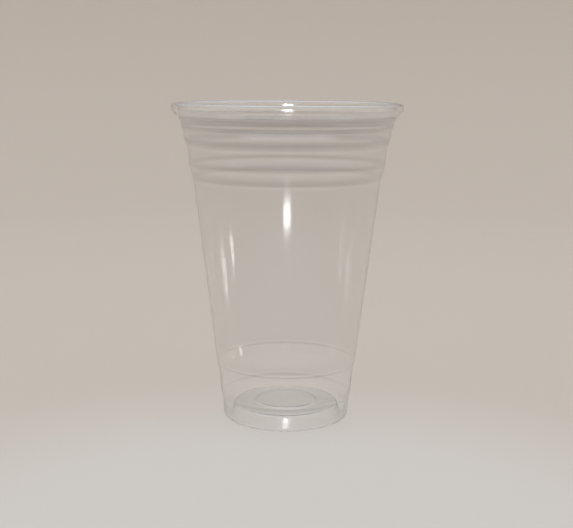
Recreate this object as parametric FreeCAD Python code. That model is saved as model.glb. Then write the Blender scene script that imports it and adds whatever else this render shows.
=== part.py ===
import FreeCAD, Part

import math
import os

# A clear drinking cup, drawn from one thin plastic sheet and open at the top. Its wall tapers down
# over six shoulders to a foot ring round a raised floor, and its lip is curled outwards and down.
# Sizes are in millimetres, +Z is up, and the origin is in the middle of the circle that the cup
# stands on. Each radius is on the dry side of the sheet, which faces away from the drink, except at
# the lip, where the curl turns the drink side outwards.

# The whole cup
cup_height = 136.0
lip_diameter = 98.0
foot_diameter = 54.4

# Thickness of the sheet, which thins as it is drawn
floor_sheet = 0.42
foot_sheet = 0.36
wall_sheet = 0.28
neck_sheet = 0.34
lip_sheet = 0.40

# The raised floor, with a low disc in its middle
disc_diameter = 25.6
disc_rise = 0.7
disc_slope = 0.9
disc_bend = 0.6
floor_diameter = 44.6
floor_rise = 5.4
floor_bend = 1.1

# The foot ring, flat where the cup stands on it
ring_width = 3.3
ring_inner_bend = 1.0
ring_outer_bend = 1.9

# Zones of the wall from the foot up: the height of each and how far it widens
foot_height = 7.4
foot_flare = 0.55
foot_shoulder_height = 4.0
foot_shoulder_flare = 0.75
skirt_height = 8.5
skirt_flare = 0.7
stacking_shoulder_height = 5.0
stacking_shoulder_flare = 1.1

# Zones of the wall from the lip down: the height of each and how far it narrows
curl_height = 5.1
curl_width = 3.2
curl_side = 3.0
curl_side_bend = 1.5
curl_gap = 0.5
throat_height = 1.0
throat_taper = 0.1
lip_shoulder_height = 1.8
lip_shoulder_taper = 1.0
neck_height = 1.9
neck_taper = 0.35
neck_shoulder_height = 1.6
neck_shoulder_taper = 0.65
collar_height = 2.8
collar_taper = 0.2
upper_shoulder_height = 3.9
upper_shoulder_taper = 1.45
band_height = 8.0
band_taper = 0.8
middle_shoulder_height = 6.3
middle_shoulder_taper = 1.75

# Bends where one zone meets the next
foot_bend = 3.0
stacking_bend = 4.0
middle_bend = 4.0
upper_bend = 2.2
neck_bend = 1.0

# Two arcs meet with no straight run between them where it would be shorter than this
shortest_run = 0.001


def unit(start, end):
    return (end - start).normalize()


def left_of(direction):
    return FreeCAD.Vector(-direction.z, 0, direction.x)


def turn_between(before, after):
    sine = before.x * after.z - before.z * after.x
    return math.atan2(sine, before.dot(after))


def floor_corners():
    foot_radius = foot_diameter / 2
    disc_radius = disc_diameter / 2
    return [
        (0, floor_rise + disc_rise, 0, floor_sheet),
        (disc_radius, floor_rise + disc_rise, disc_bend, floor_sheet),
        (disc_radius + disc_slope, floor_rise, disc_bend, floor_sheet),
        (floor_diameter / 2, floor_rise, floor_bend, floor_sheet),
        (foot_radius - ring_width, 0, ring_inner_bend, foot_sheet),
        (foot_radius, 0, ring_outer_bend, foot_sheet),
    ]


def zone_corners(radius, height, zones):
    """Corners at the far ends of a run of zones that starts at a radius and a height."""
    corners = []
    for zone_height, zone_flare, bend, sheet in zones:
        radius += zone_flare
        height += zone_height
        corners.append((radius, height, bend, sheet))
    return corners


def lower_wall_corners():
    return zone_corners(foot_diameter / 2, 0, [
        (foot_height, foot_flare, foot_bend, foot_sheet),
        (foot_shoulder_height, foot_shoulder_flare, foot_bend, foot_sheet),
        (skirt_height, skirt_flare, stacking_bend, wall_sheet),
        (stacking_shoulder_height, stacking_shoulder_flare, stacking_bend, wall_sheet),
    ])


def upper_wall_corners(neck_radius):
    corners = zone_corners(neck_radius, cup_height - curl_height, [
        (-throat_height, -throat_taper, neck_bend, lip_sheet),
        (-lip_shoulder_height, -lip_shoulder_taper, neck_bend, neck_sheet),
        (-neck_height, -neck_taper, neck_bend, neck_sheet),
        (-neck_shoulder_height, -neck_shoulder_taper, neck_bend, neck_sheet),
        (-collar_height, -collar_taper, upper_bend, neck_sheet),
        (-upper_shoulder_height, -upper_shoulder_taper, upper_bend, neck_sheet),
        (-band_height, -band_taper, middle_bend, wall_sheet),
        (-middle_shoulder_height, -middle_shoulder_taper, middle_bend, wall_sheet),
    ])
    return corners[::-1]


def curl_corners(neck_radius):
    """The hollow of the curled lip: half a circle over the top, a short side and a slope back in."""
    outer_radius = lip_diameter / 2 - lip_sheet
    top = cup_height - lip_sheet
    top_bend = (outer_radius - neck_radius) / 2
    return [
        (neck_radius, top, top_bend, lip_sheet),
        (outer_radius, top, top_bend, lip_sheet),
        (outer_radius, cup_height - curl_side, curl_side_bend, lip_sheet),
        (neck_radius + curl_gap, cup_height - curl_height, 0, lip_sheet),
    ]


def dry_corners():
    """Corners of the dry side, each with its bend and the thickness of the sheet there."""
    neck_radius = lip_diameter / 2 - curl_width + lip_sheet
    corners = floor_corners() + lower_wall_corners()
    corners += upper_wall_corners(neck_radius) + curl_corners(neck_radius)
    return [(FreeCAD.Vector(radius, 0, height), bend, sheet) for radius, height, bend, sheet in corners]


def drink_corners(corners):
    """Corners of the drink side, one thickness to the left of the dry side all along it."""
    runs = [unit(start[0], end[0]) for start, end in zip(corners, corners[1:])]
    moved_corners = []
    for index, (point, bend, sheet) in enumerate(corners):
        before = runs[max(index - 1, 0)]
        after = runs[min(index, len(runs) - 1)]
        turn = turn_between(before, after)
        across = (left_of(before) + left_of(after)).normalize()
        moved = point + across * (sheet / math.cos(turn / 2))
        moved_bend = max(bend - math.copysign(sheet, turn), 0) if bend else 0
        moved_corners.append((moved, moved_bend, sheet))
    return moved_corners


def sheet_edges(corners):
    """Straight runs joined by arcs that touch them, from the first corner to the last."""
    edges = []
    here = corners[0][0]
    for index in range(1, len(corners)):
        point, bend, sheet = corners[index]
        if bend == 0:
            edges.append(Part.makeLine(here, point))
            here = point
            continue
        before = unit(corners[index - 1][0], point)
        after = unit(point, corners[index + 1][0])
        turn = turn_between(before, after)
        reach = bend * math.tan(abs(turn) / 2)
        start = point - before * reach
        end = point + after * reach
        inwards = (after - before).normalize()
        middle = point + inwards * (bend / math.cos(turn / 2) - bend)
        if start.distanceToPoint(here) > shortest_run:
            edges.append(Part.makeLine(here, start))
        else:
            start = here
        edges.append(Part.Arc(start, middle, end).toShape())
        here = end
    return edges


def make_cup():
    dry = dry_corners()
    drink = drink_corners(dry)
    lip_edge = Part.makeLine(dry[-1][0], drink[-1][0])
    axis_edge = Part.makeLine(drink[0][0], dry[0][0])
    outline = Part.Wire(sheet_edges(dry) + [lip_edge] + sheet_edges(drink)[::-1] + [axis_edge])
    section = Part.Face(outline)
    return section.revolve(FreeCAD.Vector(0, 0, 0), FreeCAD.Vector(0, 0, 1), 360)


os.makedirs("parts", exist_ok=True)
cup = make_cup()
cup.exportStep("parts/cup.step")
print("cup volume in cubic mm:", round(cup.Volume, 1), "valid:", cup.isValid())
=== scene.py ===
import math

import bpy
import numpy as np
from mathutils import Euler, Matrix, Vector


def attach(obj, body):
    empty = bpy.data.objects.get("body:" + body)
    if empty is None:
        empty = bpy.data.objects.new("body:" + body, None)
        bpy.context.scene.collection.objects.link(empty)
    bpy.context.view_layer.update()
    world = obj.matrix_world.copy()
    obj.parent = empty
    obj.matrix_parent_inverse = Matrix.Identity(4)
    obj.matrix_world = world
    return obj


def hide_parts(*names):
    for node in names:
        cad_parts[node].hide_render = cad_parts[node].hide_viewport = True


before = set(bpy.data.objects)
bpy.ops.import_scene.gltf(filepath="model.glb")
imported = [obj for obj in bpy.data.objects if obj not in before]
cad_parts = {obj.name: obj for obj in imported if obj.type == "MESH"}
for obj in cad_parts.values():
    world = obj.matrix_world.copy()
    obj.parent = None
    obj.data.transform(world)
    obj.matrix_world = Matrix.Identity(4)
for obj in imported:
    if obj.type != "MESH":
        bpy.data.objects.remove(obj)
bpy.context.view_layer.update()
scene = bpy.context.scene
mm = 0.001
print("frame loaded:", sorted(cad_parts))


# Shader maths: a Link stands for one output socket, and Python's operators add Math nodes to it
class Link:
    def __init__(self, nodes, socket):
        self.nodes = nodes
        self.socket = socket

    def math(self, operation, first, second):
        return self.nodes.add("ShaderNodeMath", {"operation": operation}, {0: first, 1: second})

    def __add__(self, other):
        return self.math("ADD", self, other)

    def __radd__(self, other):
        return self.math("ADD", other, self)

    def __sub__(self, other):
        return self.math("SUBTRACT", self, other)

    def __rsub__(self, other):
        return self.math("SUBTRACT", other, self)

    def __mul__(self, other):
        return self.math("MULTIPLY", self, other)

    def __truediv__(self, other):
        return self.math("DIVIDE", self, other)

    def __pow__(self, other):
        return self.math("POWER", self, other)


# The nodes of one material, or of the world
class Nodes:
    def __init__(self, tree):
        self.tree = tree
        tree.nodes.clear()

    def addNode(self, kind, settings=None, inputs=None):
        node = self.tree.nodes.new(kind)
        for name, value in (settings or {}).items():
            if name == "stops":
                self.setStops(node.color_ramp, value)
            else:
                setattr(node, name, value)
        for name, value in (inputs or {}).items():
            if isinstance(value, Link):
                self.tree.links.new(value.socket, node.inputs[name])
            else:
                node.inputs[name].default_value = value
        return node

    def setStops(self, ramp, stops):
        while len(ramp.elements) < len(stops):
            ramp.elements.new(1.0)
        for element, (position, colour) in zip(ramp.elements, stops):
            element.position = position
            element.color = colour

    def add(self, kind, settings=None, inputs=None, output=0):
        return Link(self, self.addNode(kind, settings, inputs).outputs[output])

    # The place on the object in metres, or the direction in the world's air, then its x, y and z
    def place(self, output="Object"):
        place = self.add("ShaderNodeTexCoord", output=output)
        parts = self.addNode("ShaderNodeSeparateXYZ", {}, {0: place})
        return place, *[Link(self, output) for output in parts.outputs]

    def noise(self, vector, pattern):
        return self.add("ShaderNodeTexNoise", {}, {
            "Vector": vector,
            "Scale": pattern["scale"],
            "Detail": pattern["detail"],
            "Roughness": pattern["roughness"],
        })

    # 0 below low, 1 above high, and smooth in between
    def step(self, value, low, high):
        settings = {"interpolation_type": "SMOOTHSTEP"}
        return self.add("ShaderNodeMapRange", settings, {0: value, 1: low, 2: high})

    # Tones between 0 and 1 at heights in mm
    def tones(self, z, levels):
        low, high = levels[0][0], levels[-1][0]
        stops = [((height - low) / (high - low), (tone, tone, tone, 1.0)) for height, tone in levels]
        share = (z / mm - low) / (high - low)
        return self.add("ShaderNodeValToRGB", {"stops": stops}, {0: share})

    # A colour that goes from the first to the second
    def blend(self, factor, first, second):
        return self.add("ShaderNodeMix", {"data_type": "RGBA"}, {0: factor, 6: first, 7: second}, 2)

    # 1 for a ray of the named kind, and 0 for the others
    def lightPath(self, ray):
        return self.add("ShaderNodeLightPath", output=ray)

    def finish(self, kind, surface):
        self.addNode(kind, {}, {"Surface": surface})


def newMaterial(name):
    material = bpy.data.materials.new(name)
    material.use_nodes = True
    return material, Nodes(material.node_tree)


# The cup: sizes in mm, each radius on the dry side of the sheet
cupSizes = {
    "height": 136.0,
    "lipRadius": 49.0,
    "footRadius": 27.2,
    "curl": {"height": 5.1, "width": 3.2, "side": 3.0, "sideBend": 1.5, "gap": 0.5},
    "sheet": {"floor": 0.42, "foot": 0.36, "wall": 0.28, "neck": 0.34, "lip": 0.40},
    "disc": {"radius": 12.8, "rise": 0.7, "slope": 0.9, "bend": 0.6},
    "floor": {"radius": 22.3, "rise": 5.4, "bend": 1.1},
    "ring": {"width": 3.3, "innerBend": 1.0, "outerBend": 1.9},
    # each zone up from the foot: height, flare, bend, sheet
    "lowerZones": [
        (7.4, 0.55, 3.0, "foot"),
        (4.0, 0.75, 3.0, "foot"),
        (8.5, 0.7, 4.0, "wall"),
        (5.0, 1.1, 4.0, "wall"),
    ],
    # each zone down from the lip: height, taper, bend, sheet
    "upperZones": [
        (1.0, 0.1, 1.0, "lip"),
        (1.8, 1.0, 1.0, "neck"),
        (1.9, 0.35, 1.0, "neck"),
        (1.6, 0.65, 1.0, "neck"),
        (2.8, 0.2, 2.2, "neck"),
        (3.9, 1.45, 2.2, "neck"),
        (8.0, 0.8, 4.0, "wall"),
        (6.3, 1.75, 4.0, "wall"),
    ],
    "around": 256,  # faces round the cup
    "arcStep": 9.0,  # degrees between points of a bend
    "runStep": 2.5,  # mm between points of a straight run
    "endStep": 0.2,  # mm from each end of a straight run to the point next to it
    "shortestRun": 0.001,  # mm, a shorter run between two bends is left out
    "ripple": 0.006,  # mm, the draw lines that run down the wall
    "drawLines": [(23, 0.4), (37, 2.1), (61, 4.0)],  # count round the cup and phase of each set
    "fadeIn": 0.125,  # share of the height over which the draw lines set in
    "oval": 0.08,  # mm, how far the mouth is out of round
    "ovalTurn": 0.7,  # radians
}


def cupCorners(sizes):
    sheet = sizes["sheet"]
    disc = sizes["disc"]
    floor = sizes["floor"]
    ring = sizes["ring"]
    curl = sizes["curl"]
    discHeight = floor["rise"] + disc["rise"]
    corners = [
        (0.0, discHeight, 0.0, sheet["floor"]),
        (disc["radius"], discHeight, disc["bend"], sheet["floor"]),
        (disc["radius"] + disc["slope"], floor["rise"], disc["bend"], sheet["floor"]),
        (floor["radius"], floor["rise"], floor["bend"], sheet["floor"]),
        (sizes["footRadius"] - ring["width"], 0.0, ring["innerBend"], sheet["foot"]),
        (sizes["footRadius"], 0.0, ring["outerBend"], sheet["foot"]),
    ]
    radius = sizes["footRadius"]
    height = 0.0
    for zoneHeight, flare, bend, part in sizes["lowerZones"]:
        radius += flare
        height += zoneHeight
        corners.append((radius, height, bend, sheet[part]))
    lip = sheet["lip"]
    neckRadius = sizes["lipRadius"] - curl["width"] + lip
    radius = neckRadius
    height = sizes["height"] - curl["height"]
    upper = []
    for zoneHeight, taper, bend, part in sizes["upperZones"]:
        radius -= taper
        height -= zoneHeight
        upper.append((radius, height, bend, sheet[part]))
    corners += upper[::-1]
    outerRadius = sizes["lipRadius"] - lip
    top = sizes["height"] - lip
    topBend = (outerRadius - neckRadius) / 2
    corners += [
        (neckRadius, top, topBend, lip),
        (outerRadius, top, topBend, lip),
        (outerRadius, sizes["height"] - curl["side"], curl["sideBend"], lip),
        (neckRadius + curl["gap"], sizes["height"] - curl["height"], 0.0, lip),
    ]
    return [(np.array([r, z]), bendRadius, thick) for r, z, bendRadius, thick in corners]


def direction(start, end):
    return (end - start) / np.linalg.norm(end - start)


def turnBetween(before, after):
    return math.atan2(before[0] * after[1] - before[1] * after[0], before @ after)


# The same corners on the drink side, one thickness to the left of the dry side
def drinkCorners(corners):
    runs = [direction(start[0], end[0]) for start, end in zip(corners, corners[1:])]
    moved = []
    for index, (point, bend, thick) in enumerate(corners):
        before = runs[max(index - 1, 0)]
        after = runs[min(index, len(runs) - 1)]
        turn = turnBetween(before, after)
        across = direction(np.zeros(2), np.array([-before[1] - after[1], before[0] + after[0]]))
        newBend = max(bend - math.copysign(thick, turn), 0.0) if bend else 0.0
        moved.append((point + across * thick / math.cos(turn / 2), newBend, thick))
    return moved


# Points along a straight run, one of them close to each end so that the bends shade crisply
def runPoints(start, end, sizes):
    length = np.linalg.norm(end - start)
    if length < sizes["shortestRun"]:
        return []
    near = min(sizes["endStep"], length / 4) / length
    count = max(int(length / sizes["runStep"]), 1)
    shares = [0.0, near, *[k / count for k in range(1, count)], 1 - near]
    return [start + (end - start) * share for share in shares]


def outlinePoints(corners, sizes):
    points = []
    here = corners[0][0]
    for index in range(1, len(corners)):
        point, bend, thick = corners[index]
        if bend == 0.0:
            return points + runPoints(here, point, sizes) + [point]
        before = direction(corners[index - 1][0], point)
        after = direction(point, corners[index + 1][0])
        turn = turnBetween(before, after)
        reach = bend * math.tan(abs(turn) / 2)
        start = point - before * reach
        points += runPoints(here, start, sizes)
        arm = np.array([before[1], -before[0]]) * math.copysign(bend, turn)
        steps = max(int(abs(math.degrees(turn)) / sizes["arcStep"]), 2)
        for k in range(steps):
            cosine, sine = math.cos(turn * k / steps), math.sin(turn * k / steps)
            turned = np.array([arm[0] * cosine - arm[1] * sine, arm[0] * sine + arm[1] * cosine])
            points.append(start - arm + turned)
        here = point + after * reach
    return points


# How far the sheet is drawn in at a place, in mm: draw lines below the lip, and a faint oval
def drawnIn(angle, height, sizes):
    waves = [math.sin(count * angle + phase) for count, phase in sizes["drawLines"]]
    share = height / sizes["height"]
    fade = min(share / sizes["fadeIn"], 1.0) * max(1 - share, 0.0)
    lines = sizes["ripple"] * (1 + sum(waves) / len(waves)) * fade
    oval = sizes["oval"] * (1 + math.cos(2 * angle + sizes["ovalTurn"])) / 2 * share ** 2
    return lines + oval


def meshObject(name, vertices, faces):
    mesh = bpy.data.meshes.new(name)
    mesh.from_pydata(vertices, [], faces)
    mesh.shade_smooth()
    piece = bpy.data.objects.new(name, mesh)
    scene.collection.objects.link(piece)
    return piece


def makeCup(sizes):
    dry = cupCorners(sizes)
    outline = outlinePoints(dry, sizes) + outlinePoints(drinkCorners(dry), sizes)[::-1]
    around = sizes["around"]
    vertices = []
    for radius, height in outline:
        if radius < 1e-6:
            vertices.append((0.0, 0.0, height * mm))
            continue
        for k in range(around):
            angle = 2 * math.pi * k / around
            out = (radius - drawnIn(angle, height, sizes) * min(radius / sizes["footRadius"], 1.0)) * mm
            vertices.append((out * math.cos(angle), out * math.sin(angle), height * mm))
    faces = []
    last = len(vertices) - 1
    for k in range(around):
        after = (k + 1) % around
        faces.append((0, 1 + after, 1 + k))
        faces.append((last, last - around + k, last - around + after))
        for low in range(1, last - around, around):
            faces.append((low + k, low + after, low + around + after, low + around + k))
    print("cup:", len(vertices), "points,", len(faces), "faces")
    return meshObject("cupShell", vertices, faces)


# Clear plastic, with painted shade in its base colour: greyed in bands where the sheet bends over a
# shoulder, and clearest on the lines between
plasticLook = {
    "clear": (1.0, 1.0, 1.0, 1.0),
    # the grey of the painted shade on the shoulders
    "paintedShadeGrey": (0.64, 0.63, 0.63, 1.0),
    "edge": (0.985, 0.99, 1.0, 1.0),  # tints the sheet where it is seen edge-on
    "edgeFacing": (0.6, 1.0),  # how edge-on it has to be seen for the tint to set in and be full
    # how clear the base colour is, as painted shade, from grey at 0 to clear at 1: between the lists, and
    # at heights in mm
    "restTone": 0.86,
    "footShadeTones": [
        (0.0, 1.0), (8.6, 1.0), (9.4, 0.60), (10.1, 0.60), (10.4, 1.0), (11.3, 1.0), (11.7, 0.80),
        (13.0, 0.98), (23.8, 1.0), (24.1, 0.55), (24.6, 0.55), (24.9, 1.0), (25.4, 1.0),
        (25.9, 0.80), (30.0, 0.86),
    ],
    "neckShadeTones": [
        (102.4, 0.86), (103.3, 1.0), (104.1, 0.90), (104.5, 0.42), (105.8, 0.45), (107.4, 0.84),
        (108.6, 1.0), (109.4, 1.0), (110.4, 0.45), (111.0, 0.42), (112.0, 0.75), (113.0, 0.86),
        (116.5, 0.86), (117.0, 0.95), (117.2, 1.0), (117.9, 1.0), (118.3, 0.75), (119.0, 0.50),
        (120.0, 0.24), (120.7, 0.24), (121.6, 0.55), (122.2, 0.82), (124.4, 0.85), (124.9, 0.60),
        (125.4, 0.22), (126.5, 0.20), (126.9, 0.80), (127.3, 0.80), (127.8, 0.25), (129.6, 0.18),
        (130.4, 0.60), (131.2, 0.86),
    ],
    "sideShadeShare": 0.55,  # share of the painted shade that is left at the two sides of the cup
    "sidePower": 4.0,  # how quickly the painted shade fades towards the sides
    "transmission": 0.98,
    "index": 1.50,
    "roughness": 0.03,
    "lipHaze": 0.02,
    "lipHeights": (0.1305, 0.1315),  # metres, where the look of the lip sets in
    "footHaze": 0.10,
    "footHeights": (0.006, 0.009),  # metres, where the haze of the foot ends
    "streaks": {"scale": 14.0, "detail": 3.0, "roughness": 0.6, "height": 0.15},
    "peel": {"scale": 220.0, "detail": 2.0, "roughness": 0.5, "height": 0.03},
    "smudges": {"scale": 32.0, "detail": 5.0, "roughness": 0.62, "range": (0.5, 0.75), "haze": 0.004},
    "bump": {"Strength": 0.12, "Distance": 0.0002},
    "coat": 0.15,
    "coatRoughness": 0.06,
    "shadow": (0.985, 0.985, 0.985, 1.0),
}


def makePlastic(look):
    material, nodes = newMaterial("clearPlastic")
    place, x, y, z = nodes.place()
    radius = (x * x + y * y) ** 0.5 + 1e-5  # never 0, because it divides
    streakPlace = nodes.add("ShaderNodeCombineXYZ", {}, {0: x / radius, 1: y / radius, 2: z})
    streaks = nodes.noise(streakPlace, look["streaks"]) * look["streaks"]["height"]
    peel = nodes.noise(place, look["peel"]) * look["peel"]["height"]
    bump = nodes.add("ShaderNodeBump", {}, {"Height": streaks + peel, **look["bump"]})
    smudges = nodes.step(nodes.noise(place, look["smudges"]), *look["smudges"]["range"])
    haze = smudges * look["smudges"]["haze"]
    # Painted shade: the base colour is greyed in bands by height, fully at the front and back and fading
    # towards the sides, and the lip is left clear
    rest = look["restTone"]
    fade = (y / radius) ** look["sidePower"] * (1 - look["sideShadeShare"]) + look["sideShadeShare"]
    tone = nodes.tones(z, look["footShadeTones"]) + nodes.tones(z, look["neckShadeTones"]) - 2 * rest
    tone = tone * fade + rest
    lip = nodes.step(z, *look["lipHeights"])
    tone = tone + (1 - tone) * lip
    facing = nodes.add("ShaderNodeLayerWeight", {}, {"Blend": 0.5}, 1)
    clear = nodes.blend(nodes.step(facing, *look["edgeFacing"]), look["clear"], look["edge"])
    footHaze = (1 - nodes.step(z, *look["footHeights"])) * look["footHaze"]
    plastic = nodes.add("ShaderNodeBsdfPrincipled", {}, {
        "Base Color": nodes.blend(tone, look["paintedShadeGrey"], clear),
        "Roughness": look["roughness"] + haze + lip * look["lipHaze"] + footHaze,
        "Transmission Weight": look["transmission"],
        "IOR": look["index"],
        "Coat Weight": (1 - lip) * look["coat"],
        "Coat Roughness": look["coatRoughness"],
        "Normal": bump,
    })
    # Light from the lamps, and between the floor and the cup, goes straight through and fades a little
    passing = nodes.add("ShaderNodeBsdfTransparent", {}, {"Color": look["shadow"]})
    surface = plastic
    for ray in ("Is Diffuse Ray", "Is Shadow Ray"):
        surface = nodes.add("ShaderNodeMixShader", {}, {0: nodes.lightPath(ray), 1: surface, 2: passing})
    nodes.finish("ShaderNodeOutputMaterial", surface)
    return material


# The stage: a pale round cove, flat under the cup and rising into a wall all round
coveSizes = {
    "flatRadius": 0.375,
    "floorRadius": 0.75,
    "bend": 0.45,
    "bendSteps": 12,
    "wallTop": 0.5,
    "around": 96,
}
coveLook = {
    "near": (0.62, 0.595, 0.565, 1.0),
    "far": (0.56, 0.505, 0.452, 1.0),
    # the near colour's patch in front of the cup, in metres: a painted pool of light on the floor
    "paintedLightPool": {"centre": -0.15, "from": 0.09, "to": 0.22},
    "roughness": 0.85,
    "specular": 0.2,
}


def makeCove(sizes):
    outline = [(sizes["flatRadius"], 0.0)]
    for k in range(sizes["bendSteps"] + 1):
        angle = math.pi / 2 * k / sizes["bendSteps"]
        radius = sizes["floorRadius"] + sizes["bend"] * math.sin(angle)
        outline.append((radius, sizes["bend"] * (1 - math.cos(angle))))
    outline.append((sizes["floorRadius"] + sizes["bend"], sizes["wallTop"]))
    around = sizes["around"]
    vertices = [(0.0, 0.0, 0.0)]
    for radius, height in outline:
        for k in range(around):
            angle = 2 * math.pi * k / around
            vertices.append((radius * math.cos(angle), radius * math.sin(angle), height))
    faces = []
    for k in range(around):
        after = (k + 1) % around
        faces.append((0, 1 + k, 1 + after))
        for low in range(1, len(vertices) - around, around):
            faces.append((low + k, low + around + k, low + around + after, low + after))
    return meshObject("cove", vertices, faces)


def makeCovePaint(look):
    material, nodes = newMaterial("covePaint")
    x, y = nodes.place()[1:3]
    paintedLightPool = look["paintedLightPool"]
    # Painted pool of light: the floor is paler in a patch in front of the cup, and takes the far colour
    # further off
    distance = (x * x + (y - paintedLightPool["centre"]) ** 2.0) ** 0.5
    colour = nodes.blend(nodes.step(distance, paintedLightPool["from"], paintedLightPool["to"]), look["near"], look["far"])
    inputs = {"Base Color": colour, "Roughness": look["roughness"], "Specular IOR Level": look["specular"]}
    nodes.finish("ShaderNodeOutputMaterial", nodes.add("ShaderNodeBsdfPrincipled", {}, inputs))
    return material


# Lights: size, place and aim in metres, power in watts
boxLight = {"size": (2.4, 2.4), "place": (0.0, 0.0, 1.5), "aim": (0.0, 0.0, 0.0), "power": 27.5}
# Small lamps in front of the cup and at its sides give the glints on it, and light nothing else
glintLights = {
    "glintFront": {
        "size": (0.07, 0.012),
        "place": (-0.002, -0.46, 0.141),
        "aim": (0.0, 0.0, 0.08),
        "spread": 24.0,  # degrees
        "power": 0.026,
    },
    "glintRight": {
        "size": (0.08, 0.008),
        "place": (0.872, -0.053, 0.088),
        "aim": (0.0, 0.0, 0.055),
        "spread": 7.0,
        "power": 0.009,
    },
    "glintLeft": {
        "size": (0.08, 0.008),
        "place": (-0.872, -0.053, 0.088),
        "aim": (0.0, 0.0, 0.055),
        "spread": 7.0,
        "power": 0.009,
    },
}
worldLook = {
    "colour": (0.95, 0.97, 1.0, 1.0),
    "light": 0.30,  # strength for what it lights
    "seen": 0.50,  # strength where it is seen, mirrored or seen through the cup
    "above": 0.35,  # more of it straight above
    "aboveFrom": 0.3,  # height of direction where that sets in
    # brighter air between these heights of direction, in front of the cup only
    "band": {"from": 0.56, "to": 0.70, "soft": 0.05, "front": -0.1, "back": 0.3, "strength": 1.0},
}


def makeLamp(name, values):
    lamp = bpy.data.lights.new(name, "AREA")
    lamp.shape = "RECTANGLE"
    lamp.size, lamp.size_y = values["size"]
    lamp.spread = math.radians(values.get("spread", 180.0))
    lamp.energy = values["power"]
    holder = bpy.data.objects.new(name, lamp)
    holder.location = values["place"]
    aim = Vector(values["aim"]) - holder.location
    holder.rotation_euler = aim.to_track_quat("-Z", "Y").to_euler()
    holder.visible_camera = False
    holder.visible_transmission = False
    scene.collection.objects.link(holder)
    return holder


def makeLights():
    makeLamp("boxLight", boxLight).visible_glossy = False
    for name, values in glintLights.items():
        makeLamp(name, values).visible_diffuse = False
    world = bpy.data.worlds.new("studioAir")
    world.use_nodes = True
    scene.world = world
    nodes = Nodes(world.node_tree)
    y, up = nodes.place("Generated")[2:]
    band = worldLook["band"]
    inside = nodes.step(up, band["from"] - band["soft"], band["from"])
    beyond = nodes.step(up, band["to"], band["to"] + band["soft"])
    ring = inside * (1 - beyond) * (1 - nodes.step(y, band["front"], band["back"]))
    above = nodes.step(up, worldLook["aboveFrom"], 1.0) * worldLook["above"]
    bounced = nodes.lightPath("Is Glossy Ray") + nodes.lightPath("Is Transmission Ray")
    mirrored = nodes.step(bounced, 0.0, 1.0)
    seen = nodes.step(nodes.lightPath("Is Camera Ray") + mirrored, 0.0, 1.0)
    strength = seen * (worldLook["seen"] - worldLook["light"]) + worldLook["light"]
    strength = strength + mirrored * (ring * band["strength"] + above)
    air = nodes.add("ShaderNodeBackground", {}, {"Color": worldLook["colour"], "Strength": strength})
    nodes.finish("ShaderNodeOutputWorld", air)


# The photograph's view: distances in mm, angles in degrees, focal length in pixels of its width
cameraSizes = {
    "distance": 447.85,
    "height": 146.51,
    "down": 10.077,
    "roll": 0.35,
    "focal": 1050.0,
    "imageWidth": 573.0,
    "sensor": 36.0,
    "clip": (0.01, 20.0),  # metres
}


def makeCamera(sizes):
    data = bpy.data.cameras.new("photoCamera")
    data.sensor_width = sizes["sensor"]
    data.lens = data.sensor_width * sizes["focal"] / sizes["imageWidth"]
    data.clip_start, data.clip_end = sizes["clip"]
    camera = bpy.data.objects.new("photoCamera", data)
    camera.location = (0.0, -sizes["distance"] * mm, sizes["height"] * mm)
    tilt = Euler((math.radians(90 - sizes["down"]), 0.0, 0.0)).to_matrix()
    roll = Euler((0.0, 0.0, math.radians(sizes["roll"]))).to_matrix()
    camera.rotation_euler = (tilt @ roll).to_euler()
    scene.collection.objects.link(camera)
    scene.camera = camera


cup = makeCup(cupSizes)
cup.data.materials.append(makePlastic(plasticLook))
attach(cup, "root")
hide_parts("cup")
print("plastic made")

cove = makeCove(coveSizes)
cove.data.materials.append(makeCovePaint(coveLook))
makeLights()
makeCamera(cameraSizes)
scene.view_settings.view_transform = "Standard"
print("stage, lights and camera made")
